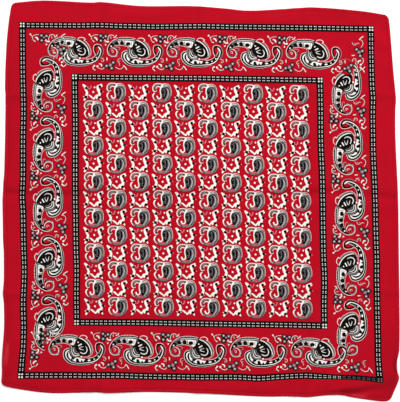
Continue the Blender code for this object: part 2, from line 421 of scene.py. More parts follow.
def cotton(name, colour, mottle=0.07, slub=0.10, weave=0.00006, sheen=0.012):
    """Plain-weave cotton: threads over and under, slubs, patchy dye, and painted shade and painted
    highlights along the creases.

    mottle and slub: how far the colour varies in patches and from thread to thread.
    weave: depth of the threads' relief in metres.
    """
    material = bpy.data.materials.new(name)
    material.use_nodes = True
    tree = material.node_tree
    shader = tree.nodes["Principled BSDF"]
    place = linked(tree, "ShaderNodeTexCoord").outputs["Object"]
    split = linked(tree, "ShaderNodeSeparateXYZ", Vector=place)
    across = sum_up(tree, 'MULTIPLY', split.outputs[0], math.pi / THREAD_PITCH)
    away = sum_up(tree, 'MULTIPLY', split.outputs[1], math.pi / THREAD_PITCH)
    # the warp shows where it goes over the weft, and the weft shows between
    warp = sum_up(tree, 'SINE', across)
    weft = sum_up(tree, 'SINE', away)
    over = sum_up(tree, 'MULTIPLY_ADD', sum_up(tree, 'MULTIPLY', warp, weft), 0.5, 0.5)
    under = sum_up(tree, 'SUBTRACT', 1.0, over)
    warp_part = sum_up(tree, 'MULTIPLY', sum_up(tree, 'ABSOLUTE', warp), over)
    weft_part = sum_up(tree, 'MULTIPLY', sum_up(tree, 'ABSOLUTE', weft), under)
    threads = sum_up(tree, 'ADD', warp_part, weft_part)
    along = noise(tree, place, THREAD_PITCH * 2, (1.0, THREAD_PITCH / SLUB_LENGTH, 1.0))
    cross = noise(tree, place, THREAD_PITCH * 2, (THREAD_PITCH / SLUB_LENGTH, 1.0, 1.0))
    slubs = sum_up(tree, 'ADD', along, cross)
    patches = noise(tree, place, DYE_PATCH)
    # the colour's strength: dye, then the painted shade along the creases
    thread_strength = sum_up(tree, 'MULTIPLY_ADD', slubs, slub, 1.0 - slub)
    lightest = sum_up(tree, 'SUBTRACT', thread_strength, mottle / 2)
    dyed = sum_up(tree, 'MULTIPLY_ADD', patches, mottle, lightest)
    # painted shade and highlight: the crease attribute darkens the colour where shade falls, and below
    # 0 adds white, a painted highlight
    crease = linked(tree, "ShaderNodeAttribute", attribute_name="crease").outputs["Fac"]
    patchy = sum_up(tree, 'MULTIPLY_ADD', patches, CREASE_VARIES, 1.0 - CREASE_VARIES / 2)
    crease = sum_up(tree, 'MULTIPLY', crease, patchy)
    painted_shading = sum_up(tree, 'MULTIPLY_ADD', crease, CREASE_SHADE - 1.0, 1.0)
    tint = mixed(tree, 'MULTIPLY', colour, sum_up(tree, 'MULTIPLY', dyed, painted_shading))
    white = sum_up(tree, 'MAXIMUM', sum_up(tree, 'MULTIPLY', crease, -PAINTED_HIGHLIGHT_WHITE), 0.0)
    tree.links.new(mixed(tree, 'ADD', tint, white), shader.inputs["Base Color"])
    relief = sum_up(tree, 'MULTIPLY_ADD', slubs, SLUB_RELIEF, threads)
    bump = linked(tree, "ShaderNodeBump", Height=relief, Distance=weave, Strength=1.0)
    tree.links.new(bump.outputs[0], shader.inputs["Normal"])
    shader.inputs["Roughness"].default_value = ROUGHNESS
    shader.inputs["Specular IOR Level"].default_value = GLOSS
    shader.inputs["Sheen Weight"].default_value = sheen
    shader.inputs["Sheen Roughness"].default_value = FUZZ_ROUGHNESS
    return material


SHADE_REACH = 0.42          # how far a fold's painted shade reaches, as a share of the fold's reach
SHADE_VARIES = 0.2          # how far the painted shade varies along a fold
SHADE_WAVE = 27.0           # the length of that variation, over tau
PALEST = -1.2              # the least and the most that the painted shade comes to; below 0 it is a painted highlight
DARKEST = 2.6


def painted_shade_and_highlight(p, q):
    """Painted shade and highlight: above 0 the colour is painted darker along a crease, below 0 paler
    on a ridge, and 0 away from the folds.
    """
    painted_shading = 0.0
    for folds, away, along in ((CROSS_FOLDS, q, p), (LENGTH_FOLDS, p, q)):
        for fold in folds:
            _, _, end, _, reach, shade_at_start, shade_at_end = fold
            off = off_fold(fold, away, along) / (reach * SHADE_REACH)
            painted_light = shade_at_start + (shade_at_end - shade_at_start) * (along / SIDE + 0.5)
            painted_shading = painted_shading + painted_light * uneven(along, SHADE_VARIES, SHADE_WAVE, end) * np.exp(-off * off)
    painted_shading = painted_shading + sum(crest(painted_mark, p, q) for painted_mark in PAINTED_SHADES_AND_HIGHLIGHTS)
    return np.clip(painted_shading, PALEST, DARKEST)


UNDER_HEM = 0.0006         # how far the cloth runs on under the hem
PANEL_END = HALF - HEM_WIDTH + UNDER_HEM
RED = (0.376, 0.0016, 0.0102)

grid = crossings(grid_lines(LENGTH_FOLDS, PANEL_END), grid_lines(CROSS_FOLDS, PANEL_END))
p, q = (np.clip(places, -PANEL_END, PANEL_END) for places in grid)
vertices, faces = closed_shell(lay(p, q, CLOTH_FACE), lay(p, q, CLOTH_BACK))
red_cotton = cotton("red_cotton", RED, mottle=0.18, slub=0.15)
# painted shade and highlights along the creases go on the cloth's colour
cloth = make_piece("cloth", vertices, faces, red_cotton, np.tile(painted_shade_and_highlight(p, q).ravel(), 2))
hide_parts("cloth_panel")


# The hems: along each side the cloth is turned over twice to a narrow hem, rounded at its
# fold, and mitred by hand at the corners.

HEM_SECTION = (
    # in from the edge, height above the cloth's back
    (0.00, 0.42), (0.25, 0.10), (1.60, 0.02), (3.20, 0.02), (4.30, 0.10),
    (4.50, 0.50), (4.00, 0.72), (3.00, 0.90), (1.60, 1.00), (0.35, 0.86),
)
HEM_RED = (0.400, 0.0018, 0.0112)
HEM_STEP = 0.0016
PUCKER = 0.00007           # how far the stitches pull the hem in and out
SHORT_WAVE = 0.0031        # lengths of the two waves of that pull, over tau
LONG_WAVE = 0.0117
PULLED_FROM = 2.0          # from here in the hem is pulled in full
EDGE_PULL = 0.3            # and nearer the edge by this share
TOP_FROM = 0.5             # from this height up the hem also rises with the pull
TOP_PULL = 0.6             # by this share
HEM_SIDES = (
    # hem, the way across it, and to which end of that way it lies
    ("hem_top", "q", 1), ("hem_right", "p", 1), ("hem_bottom", "q", -1), ("hem_left", "p", -1),
)

hem_cotton = cotton("hem_cotton", HEM_RED, weave=0.00009)
count = math.ceil(SIDE / HEM_STEP)
shares = np.linspace(-1.0, 1.0, count)
for name, axis, sign in HEM_SIDES:
    rings = []
    for inset, height in HEM_SECTION:
        out = HALF - inset * MM
        along = shares * out
        pull = PUCKER * (np.sin(along / SHORT_WAVE) + np.sin(along / LONG_WAVE + inset))
        out_there = sign * (out - np.where(inset > PULLED_FROM, pull, EDGE_PULL * pull))
        p, q = (out_there, along) if axis == "p" else (along, out_there)
        rings.append(lay(p, q, CLOTH_BACK + height * MM + TOP_PULL * pull * (height > TOP_FROM)))
    tube = np.stack(rings, axis=1)
    around = len(HEM_SECTION)
    number = np.arange(count * around).reshape(count, around)
    following = np.roll(number, -1, axis=1)
    skin = np.stack((number[:-1], following[:-1], following[1:], number[1:]), axis=-1)
    # faces from one half of the section to the other close each end of a hem
    halves = [(k, k + 1, around - 2 - k, around - 1 - k) for k in range(around // 2 - 1)]
    first_end = np.array(halves)[:, ::-1]
    last_end = np.array(halves) + (count - 1) * around
    faces = np.concatenate((skin.reshape(-1, 4), first_end, last_end))
    if (axis == "p") == (sign > 0):
        faces = faces[:, ::-1]
    # painted shade and highlights along the creases go on the hems too
    painted_light = painted_shade_and_highlight(*on_the_square(tube[..., 0], tube[..., 1]))
    hem = make_piece(name + "_fold", tube.reshape(-1, 3), faces, hem_cotton, painted_light)
    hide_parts(name)


# The stitching: one row of short lockstitches in matching thread holds each hem down, close
# to its inner fold.

STITCH_PITCH = 0.0026
STITCH_INSET = 0.0036      # in from the cloth's edge
STITCH_BODY = (
    # place along the stitch, half width, height of its back over the hem
    (-1.00, 0.10, -0.06),
    (-0.72, 0.19, 0.05),
    (0.00, 0.22, 0.12),
    (0.72, 0.19, 0.05),
    (1.00, 0.10, -0.06),
)
STITCH_HALF_LENGTH = 0.00108
STITCH_THICK = 0.00020
THREAD_SIDES = 6
HEM_TOP = 0.00080          # the hem's height there, above the cloth's back
DRIFT = 0.00012            # how far the row wanders in and out
DRIFT_WAVE = 0.019         # the length of that wandering, over tau
THREAD_RED = (0.400, 0.006, 0.018)

red_thread = cotton("red_thread", THREAD_RED, slub=0.2, weave=0.00002, sheen=0.03)
stitch_points = []
for station, half_width, height in STITCH_BODY:
    for turn in range(THREAD_SIDES):
        angle = math.tau * turn / THREAD_SIDES
        stitch_points.append((
            station * STITCH_HALF_LENGTH,
            half_width * MM * math.cos(angle),
            height * MM + STITCH_THICK * 0.5 * math.sin(angle),
        ))
stitch_points = np.array(stitch_points)
number = np.arange(len(stitch_points)).reshape(len(STITCH_BODY), THREAD_SIDES)
following = np.roll(number, -1, axis=1)
stitch_skin = np.stack((number[:-1], number[1:], following[1:], following[:-1]), axis=-1)
# two four-sided faces close each end of a stitch
first_end = np.array([(0, 1, 4, 5), (1, 2, 3, 4)])
last_end = first_end[:, ::-1] + number[-1, 0]
stitch_faces = np.concatenate((stitch_skin.reshape(-1, 4), first_end, last_end))
places = np.arange(-HALF + 2 * STITCH_PITCH, HALF - 2 * STITCH_PITCH, STITCH_PITCH)
rows = []
for _, axis, sign in HEM_SIDES:
    along = places[:, None] + stitch_points[None, :, 0]
    drift = DRIFT * np.sin(places / DRIFT_WAVE + sign)[:, None]
    out = sign * (HALF - STITCH_INSET + drift) + stitch_points[None, :, 1]
    height = CLOTH_BACK + HEM_TOP + stitch_points[None, :, 2] + np.zeros_like(along)
    p, q = (out, along) if axis == "p" else (along, out)
    rows.append(lay(p, q, height))
stitches = np.concatenate(rows)
order = np.arange(len(stitches))[:, None, None] * len(stitch_points)
faces = stitch_faces[None] + order
turned = np.repeat([axis == "p" for _, axis, _ in HEM_SIDES], len(places))
faces[turned] = faces[turned][:, :, ::-1]
lockstitches = make_piece("lockstitches", stitches.reshape(-1, 3), faces.reshape(-1, 4), red_thread)


# The print: black, white, grey and pink inks over the dyed red. Every motif is drawn once on
# squared paper, about 1.4 mm a square, x to the right and y away. Strokes go down in order, a
# later one covers those under it, and bare is a place that is left red.

CURVE_SLIP = 0.045         # how far a drawn curve may cut its corners, in squares
SMALL_DOT = 0.6            # a dot of a smaller radius has 8 sides, and a larger one 12
OVAL_SIDES = 16
SHADE_RIGHT = 0.36         # where a shaded stroke's dark one lies, and how much wider it is
SHADE_NEARER = 0.30
SHADE_WIDER = 0.3


def between(t, before, start, end, after):
    """A smooth value at a share t of the way from start to end, with those before and after."""
    third = 3 * start - before - 3 * end + after
    second = 2 * before - 5 * start + 4 * end - after
    return start + 0.5 * t * (end - before + t * (second + t * third))


def curve(points, closed=False):
    """A smooth curve through a few points."""
    count = len(points)
    found = []
    for start in range(count if closed else count - 1):
        if closed:
            a, b, c, d = (points[(start + k) % count] for k in (-1, 0, 1, 2))
        else:
            a, b, c, d = (points[min(max(start + k, 0), count - 1)] for k in (-1, 0, 1, 2))
        way_in = math.atan2(c[1] - a[1], c[0] - a[0])
        way_out = math.atan2(d[1] - b[1], d[0] - b[0])
        bend = math.remainder(way_out - way_in, math.tau)
        sag = math.dist(b[:2], c[:2]) * abs(bend) / 8
        steps = max(math.ceil(math.sqrt(sag / CURVE_SLIP)), 1)
        for step in range(steps):
            t = step / steps
            found.append(tuple(between(t, *values) for values in zip(a, b, c, d)))
    if not closed:
        found.append(tuple(points[-1]))
    return found


def line(ink, width, *points):
    """A stroke of the pen through a few points, round at both ends.

    A point's third number, where it has one, makes the stroke that many times as wide there.
    """
    path = curve([(*point, 1.0)[:3] for point in points])
    sides = []
    for step, (x, y, times) in enumerate(path):
        x0, y0, _ = path[max(step - 1, 0)]
        x1, y1, _ = path[min(step + 1, len(path) - 1)]
        reach = width * times / 2 / max(math.hypot(x1 - x0, y1 - y0), 1e-9)
        dx, dy = (y0 - y1) * reach, (x1 - x0) * reach
        sides.append(((x + dx, y + dy), (x - dx, y - dy)))
    quads = [(ink, (a[0], a[1], b[1], b[0])) for a, b in zip(sides, sides[1:])]
    ends = [dots(ink, width * times / 2, (x, y)) for x, y, times in (path[0], path[-1])]
    return quads + ends[0] + ends[1]


def shape(ink, *points):
    """A filled shape with a soft outline through a few points."""
    return [(ink, tuple(curve(points, closed=True)))]


def dots(ink, radius, *centres):
    """Round dots."""
    sides = 8 if radius < SMALL_DOT else 12
    turns = [math.tau * (step + 0.5) / sides for step in range(sides)]
    return [(ink, tuple((x + radius * math.cos(a), y + radius * math.sin(a)) for a in turns))
            for x, y in centres]


def shaded(width, *points):
    """A white stroke with a dark one under it, a little to the right and nearer."""
    under = [(x + SHADE_RIGHT, y - SHADE_NEARER, *times) for x, y, *times in points]
    return line("black", width + SHADE_WIDER, *under) + line("white", width, *points)


def beads(ink, radius, pitch, *points):
    """A row of small dots along a curve."""
    path = curve(points)
    found, travelled = [], pitch
    for (x0, y0), (x1, y1) in zip(path, path[1:]):
        length = math.hypot(x1 - x0, y1 - y0)
        while travelled >= pitch - length:
            share = (pitch - travelled) / length
            found += dots(ink, radius, (x0 + (x1 - x0) * share, y0 + (y1 - y0) * share))
            travelled -= pitch
        travelled += length
    return found


def oval(ink, x, y, half_length, half_width, turn=0.0):
    """A filled ellipse, its length turned by turn degrees from x."""
    lean = math.radians(turn)
    found = []
    for step in range(OVAL_SIDES):
        angle = math.tau * step / OVAL_SIDES
        along = half_length * math.cos(angle)
        across = half_width * math.sin(angle)
        found.append((
            x + along * math.cos(lean) - across * math.sin(lean),
            y + along * math.sin(lean) + across * math.cos(lean),
        ))
    return [(ink, tuple(found))]


# The check bands: two square frames of black ribbon, each with a row of cells of four small
# white blocks, and four round dots at every corner.

BAND_WIDTH = 7.0
CORNER_CELL = 7.0          # the length of band that a corner's own cell takes
BLOCK_ROWS = (
    # middle and half width across the band, from its outer edge
    (1.95, 0.44),
    (4.70, 0.38),
)
BLOCK_MIDDLES = (-0.80, 0.80)
BLOCK_HALF_LENGTH = 0.48
BLOCK_CUT = 0.3            # how much of its shorter half a block loses at each corner
CORNER_DOT = 0.9
CORNER_DOTS_AT = ((1.75, -1.7), (4.6, -1.7), (1.75, -4.45), (4.6, -4.45))


def block(ink, x, y, half_length, half_width):
    """A small oblong with its corners taken off."""
    cut = BLOCK_CUT * min(half_length, half_width)
    near, far = half_length - cut, half_width - cut
    return [(ink, (
        (x + near, y - half_width), (x + half_length, y - far), (x + half_length, y + far),
        (x + near, y + half_width), (x - near, y + half_width), (x - half_length, y + far),
        (x - half_length, y - far), (x - near, y - half_width),
    ))]


def ribbon(left, right, width):
    """A length of plain black ribbon, its outer edge at y = 0."""
    return [("black", ((left, -width), (right, -width), (right, 0.0), (left, 0.0)))]


def check_cell(length, ink):
    """One cell of a band that runs along the far side, with its outer edge at y = 0."""
    half = length / 2
    cell = ribbon(-half, half, BAND_WIDTH)
    for middle, half_width in BLOCK_ROWS:
        for x in BLOCK_MIDDLES:
            cell += block(ink, x, -middle, BLOCK_HALF_LENGTH, half_width)
    return cell


def check_corner(ink):
    """The corner of a band, with its outer corner at x = 0 and y = 0."""
    return ribbon(0.0, CORNER_CELL, CORNER_CELL) + dots(ink, CORNER_DOT, *CORNER_DOTS_AT)


# The large paisley of the border: a teardrop with a rolled tail, its head turned back over
# its body, and a long arm that ends in a curl.

ARM_CURL = ((-26.2, 3.0, 0.8), (-26.0, 0.6), (-25.6, -1.6), (-24.0, -3.6), (-21.4, -4.4),
            (-18.6, -3.7), (-16.8, -1.8))
LARGE_PAISLEY = [
    # the arm, with its curl
    *line("black", 2.0, *ARM_CURL, (-16.2, 0.6, 0.9), (-17.2, 2.6, 0.7), (-19.0, 4.0, 0.6)),
    *line("grey", 1.2, *ARM_CURL, (-16.3, 0.6, 0.7), (-17.2, 2.6, 0.5)),
    *shape("black", (-26.6, 0.6), (-26.6, 3.4), (-25.7, 6.3), (-24.0, 9.2), (-21.2, 11.9),
           (-17.6, 13.7), (-13.0, 14.7), (-7.0, 15.0), (-1.0, 14.6), (3.0, 11.6), (0.0, 5.6),
           (-3.6, 5.2), (-5.6, 5.4), (-9.0, 6.6), (-14.0, 7.2), (-19.4, 6.2), (-21.0, 5.0),
           (-24.0, 4.2), (-25.4, 2.4)),
    *line("white", 0.46, (-17.2, -4.2, 0.7), (-19.4, -4.7), (-21.4, -4.9), (-23.6, -4.6),
          (-25.6, -3.3), (-26.8, -1.1), (-27.2, 1.8), (-26.8, 4.2), (-25.2, 7.6), (-22.6, 10.6),
          (-19.4, 12.9), (-16.6, 13.8, 0.7)),
    *beads("white", 0.46, 1.45, (-15.2, 14.5), (-11.0, 15.0), (-6.0, 15.0), (-1.4, 14.4), (1.6, 13.3)),
    *line("white", 0.62, (-22.6, 4.2, 0.5), (-20.6, 3.8), (-18.7, 2.7), (-17.6, 0.6),
          (-17.5, -1.4), (-18.0, -3.0, 0.7), (-19.4, -4.0, 0.5)),
    *line("white", 0.36, (-23.0, 0.8), (-22.2, 1.7), (-21.1, 1.0), (-21.3, -0.5), (-22.2, -0.6)),
    *dots("grey", 1.0, (-23.4, 3.4)),
    *line("grey", 1.0, (-20.6, 10.8), (-17.0, 11.9), (-13.0, 12.6), (-7.0, 12.8), (-0.6, 12.5)),
    *line("white", 0.42, (-16.4, 12.4), (-13.0, 13.0), (-7.0, 13.2), (0.4, 12.4)),
    *line("grey", 0.6, (-22.6, 9.4), (-20.6, 8.6), (-19.4, 7.4)),
    *dots("white", 0.78, (-23.3, 5.7)),
    *shape("white", (-16.2, 11.1), (-13.0, 11.6), (-8.0, 11.8), (-3.0, 11.4), (-0.9, 10.8),
           (-1.0, 9.0), (-1.6, 7.0), (-2.4, 5.4), (-3.8, 4.8), (-6.0, 5.7), (-8.6, 7.2),
           (-12.0, 7.8), (-16.4, 7.6)),
    *oval("black", -17.4, 8.3, 2.2, 1.7, 85),
    *oval("black", -12.5, 9.0, 2.5, 2.1, 90),
    *oval("black", -6.2, 8.3, 2.4, 2.0),
    *line("grey", 1.0, (-9.6, 10.8), (-9.8, 7.6)),
    *line("grey", 1.2, (-14.9, 10.8), (-15.3, 8.0)),
    *line("grey", 1.4, (-21.2, 10.0), (-19.4, 11.2), (-16.8, 11.7)),
    *line("grey", 0.6, (-2.9, 10.6), (-3.0, 6.6)),
    *line("grey", 1.2, (0.3, 12.0), (0.0, 9.4, 0.8)),
    *dots("white", 0.5, (-14.9, 8.2), (-15.1, 9.8)),
    *line("white", 0.34, (-20.4, 6.0), (-17.6, 6.6), (-14.0, 6.8), (-9.8, 6.3), (-6.8, 5.1),
          (-6.0, 4.0), (-6.6, 3.0)),
    *line("pink", 0.7, (-19.0, 4.8), (-17.0, 5.0), (-15.3, 4.6), (-14.6, 3.4), (-15.4, 2.4)),
    *dots("grey", 0.55, (-14.6, 3.5)),
    # the body, rolled up at its end
    *line("grey", 0.8, (26.4, 6.4, 0.6), (28.4, 3.6), (28.8, 0.6), (28.2, -2.6), (26.6, -5.6, 0.6)),
    *shape("black", (-6.0, 1.0), (-9.2, 1.3), (-11.7, 0.1), (-13.1, -2.7), (-12.9, -6.5),
           (-11.2, -10.0), (-8.2, -12.9), (-4.2, -14.7), (2.0, -15.6), (8.0, -15.5),
           (13.0, -14.5), (17.6, -12.9), (21.6, -10.6), (25.2, -6.8), (27.4, -2.2), (28.0, 1.8),
           (26.8, 4.8), (24.4, 6.8), (21.6, 7.2), (19.8, 5.7), (19.4, 2.6), (20.0, -0.9),
           (21.2, -3.4), (20.2, -5.4), (18.0, -6.8), (15.0, -7.9), (10.0, -8.5), (2.0, -7.4),
           (-4.0, -3.0)),
    *shape("bare", (22.6, -1.4), (21.3, 0.0), (20.8, 2.6), (21.4, 4.6), (22.6, 5.1),
           (23.7, 3.6), (23.9, 1.4), (23.5, -0.4)),
    *dots("grey", 1.0, (22.3, -3.0)),
    *line("white", 0.42, (-6.6, 3.0), (-7.3, 1.5), (-9.4, 1.2), (-11.6, -0.1), (-12.8, -2.8),
          (-12.6, -6.5), (-10.9, -9.8), (-8.0, -12.5, 0.8), (-4.4, -14.2, 0.7), (2.0, -15.0, 0.6),
          (8.2, -15.0, 0.6), (13.2, -14.1, 0.5), (18.0, -12.7, 0.3)),
    *line("white", 0.40, (27.0, 5.6, 0.6), (25.6, 7.0), (23.4, 7.6), (21.2, 7.4), (19.3, 6.0),
          (18.9, 2.6), (19.5, -0.8), (20.8, -3.2, 1.2), (20.2, -5.0), (18.0, -6.6), (15.0, -7.7),
          (11.6, -8.4)),
    *line("white", 0.84, (-6.7, -0.6, 1.2), (-8.6, -0.9, 1.5), (-10.1, -2.8, 1.7), (-10.3, -5.4, 1.3),
          (-9.1, -8.3), (-6.6, -10.9, 0.8), (-3.6, -12.5, 0.6), (1.0, -13.3, 0.5),
          (6.0, -13.3, 0.6), (11.0, -12.8, 0.8), (16.0, -12.0), (20.2, -10.2), (23.0, -7.4),
          (25.2, -3.4), (26.2, 0.8), (25.2, 3.2, 1.9), (23.8, 5.0, 0.9)),
    *line("white", 0.36, (22.6, -2.2), (23.8, -0.4), (24.3, 1.6)),
    *shape("white", (-7.6, -2.2), (-6.2, -2.6), (-5.0, -5.2), (-4.6, -7.6), (-5.0, -9.2),
           (-6.2, -8.8), (-7.4, -7.0), (-7.9, -4.4)),
    *shape("white", (-3.8, -9.8), (-2.2, -9.6), (-1.2, -8.2), (0.8, -7.6), (3.2, -7.9),
           (5.6, -8.8), (8.6, -9.1), (8.4, -9.9), (7.0, -11.8), (6.2, -10.8), (5.4, -10.0),
           (4.6, -11.2), (3.8, -12.0), (2.4, -9.8), (0.6, -9.2), (-0.2, -10.2), (-0.2, -11.6),
           (-1.6, -11.4)),
    *dots("black", 1.5, (1.1, -10.0)),
    *dots("black", 1.1, (-3.8, -8.2)),
    *oval("white", 12.9, -10.3, 1.5, 0.85, 8),
    *dots("white", 0.72, (17.9, -9.0)),
    *dots("white", 0.7, (21.9, -6.2)),
    *shape("pink", (6.6, -6.9), (9.6, -6.4), (12.4, -6.6), (14.2, -7.3), (10.6, -7.9), (7.2, -7.9)),
    *dots("white", 1.0, (5.2, -6.7)),
    # the head, turned back over the body
    *shape("black", (1.8, 12.4), (5.8, 12.2), (9.8, 10.4), (13.2, 7.4), (15.0, 4.0),
           (15.8, 0.8), (15.9, -1.6), (14.6, -4.2), (12.0, -5.6), (8.4, -5.9), (4.4, -6.1),
           (1.4, -7.2), (-2.6, -7.8), (-6.0, -6.0), (-7.2, -1.4), (-6.8, 3.4), (-2.8, 4.4),
           (-0.2, 8.4)),
    *beads("white", 0.42, 1.3, (9.4, 11.2), (11.6, 9.8), (13.4, 7.6), (14.8, 5.2), (15.8, 2.6),
           (16.4, -0.2), (16.0, -3.0), (14.2, -5.2), (11.4, -6.3)),
    *line("grey", 0.6, (10.0, 9.6), (12.4, 7.4), (14.2, 4.6), (15.1, 1.4), (15.4, -1.4), (14.6, -3.6),
          (12.8, -4.8)),
    *line("white", 0.98, (2.2, 12.2, 0.6), (4.6, 11.4), (7.0, 10.2), (9.5, 8.2), (11.7, 5.8),
          (13.1, 3.2), (14.0, 0.6, 0.9), (14.4, -1.8, 0.8), (14.0, -3.2, 0.5)),
    *line("grey", 1.0, (-6.2, 4.0), (-6.4, 1.0), (-6.2, -1.8), (-5.0, -4.6), (-2.4, -6.7), (0.8, -7.0)),
    *line("white", 0.6, (-4.8, 3.6, 0.6), (-4.9, 0.6, 0.6), (-4.4, -2.2), (-3.4, -4.2, 1.4),
          (-1.4, -5.6, 1.5), (3.0, -5.6)),
    *line("white", 0.6, (-3.4, 2.2, 0.6), (-3.2, 0.2, 1.2), (-2.4, -1.9, 1.1), (-0.8, -3.6),
          (2.6, -4.2, 1.2)),
    *line("grey", 0.7, (-2.0, 2.8), (-1.6, 0.6), (-0.6, -1.2), (1.0, -2.4)),
    *line("white", 1.2, (2.2, 4.3), (4.8, 5.8)),
    *dots("white", 0.72, (1.6, 7.6)),
    *line("white", 0.62, (6.8, 3.3, 0.6), (4.6, 2.8, 0.8), (2.8, 1.6), (4.8, 0.5), (7.3, -0.1, 0.5)),
    *line("white", 0.85, (4.0, -2.4, 0.8), (6.0, -3.4), (8.4, -3.4), (10.0, -2.2), (10.7, 0.2),
          (10.2, 2.2, 0.8), (9.2, 3.7, 0.4)),
    # a loose curl over the arm
    *line("white", 0.6, (3.2, 13.0, 0.7), (4.3, 14.2, 0.8), (6.8, 14.7), (9.3, 13.9), (10.4, 12.4, 1.4),
          (9.8, 11.6, 1.2)),
]


# The sprays between the large paisleys: a three-petalled blossom with a dotted sprig to one
# side of it and a scroll to the other.

BLOSSOM = [
    *shape("black", (-3.6, 3.2), (0.6, 1.6), (3.8, 2.8), (2.2, -0.4), (-0.4, -4.0), (-3.2, -4.2),
           (-1.8, 0.0)),
    *dots("black", 2.7, (-2.5, 2.1), (2.6, 1.6), (-2.3, -2.9)),
    *dots("grey", 1.5, (-2.5, 2.2), (2.6, 1.7), (-2.3, -2.9)),
    *dots("pink", 0.9, (0.0, 0.2)),
    *dots("white", 0.55, (-2.5, 2.2), (2.6, 1.7), (-2.3, -2.9)),
]
OUTER_SPRAY = [
    *dots("white", 0.8, (-13.8, 3.3)),
    *shaded(0.42, (-13.4, 2.6, 0.8), (-12.0, 1.2, 1.4), (-11.6, -0.8), (-10.6, -2.9),
            (-9.0, -3.9, 2.4)),
    *shaded(0.36, (-11.6, 1.2), (-10.2, 2.2), (-7.3, 3.1), (-4.6, 2.9)),
    *shaded(1.4, (-8.6, 0.2, 0.8), (-7.0, -0.4), (-6.1, -2.2, 0.9)),
    *BLOSSOM,
    *shaded(1.1, (1.6, -2.0, 0.7), (3.4, -4.0), (5.2, -3.9, 1.5)),
    *line("pink", 0.8, (0.9, -2.9), (2.6, -4.6)),
    *shaded(0.5, (5.0, -2.4), (4.8, -0.6), (5.6, 1.7), (7.3, 3.0), (9.6, 2.9), (10.8, 2.1)),
    *shaded(0.36, (8.2, 1.6), (7.4, 0.6), (8.4, -0.6)),
    *shaded(0.7, (10.6, 0.6), (12.2, 1.2, 1.4), (13.4, 2.9, 0.9)),
    *line("pink", 0.8, (12.4, 1.0), (14.6, 0.2)),
    *oval("white", 2.6, -7.1, 0.9, 0.55, 60),
    *dots("grey", 0.5, (1.2, -6.2)),
]
INNER_SPRAY = [
    *shaded(0.68, (-15.8, -1.5, 2.4), (-17.4, -3.2), (-16.6, -5.0), (-15.2, -6.0)),
    *dots("white", 1.0, (-13.0, -1.9)),
    *shaded(0.5, (-12.7, -2.4), (-11.1, -4.1), (-7.8, -4.9), (-6.0, -3.2)),
    *shaded(1.2, (-11.1, 0.6, 0.8), (-9.0, 0.0), (-8.8, -1.7)),
    *shaded(0.38, (-9.7, 6.6), (-7.4, 6.1), (-6.4, 4.2), (-7.6, 2.8), (-9.0, 3.4)),
    *dots("pink", 0.55, (-8.1, 4.6)),
    *shaded(0.85, (-3.4, 6.8), (-3.2, 4.5)),
    *shape("black", (4.0, 3.0), (1.2, 1.0), (-3.2, 1.0), (-5.9, -1.8), (-3.2, -3.2), (0.6, -6.0),
           (3.2, -5.4), (3.0, -1.2)),
    *dots("black", 2.7, (2.8, 2.0), (-3.8, -1.6), (1.4, -4.0)),
    *dots("grey", 1.6, (2.9, 2.1), (-3.8, -1.5), (1.4, -3.9)),
    *dots("grey", 1.8, (0.0, -0.6)),
    *dots("pink", 0.95, (0.0, -0.5)),
    *dots("white", 0.58, (2.9, 2.1), (-3.8, -1.5), (1.4, -3.9)),
    *shaded(0.36, (10.2, 6.4), (8.4, 5.8), (7.4, 4.2), (8.4, 2.2), (9.5, 0.6), (9.0, -0.8)),
    *dots("pink", 0.6, (9.2, 3.6)),
    *shaded(0.42, (5.2, -2.6), (7.8, -4.3), (10.7, -4.5), (12.8, -2.8), (13.2, -0.8)),
    *shaded(0.78, (13.2, -1.0), (14.8, -2.4), (16.4, -5.0)),
]


# The field inside the bands: small paisleys with a crook at the top and a hooked tail, and
# squares of leaves round a little flower, set out in turn like a chequer board.

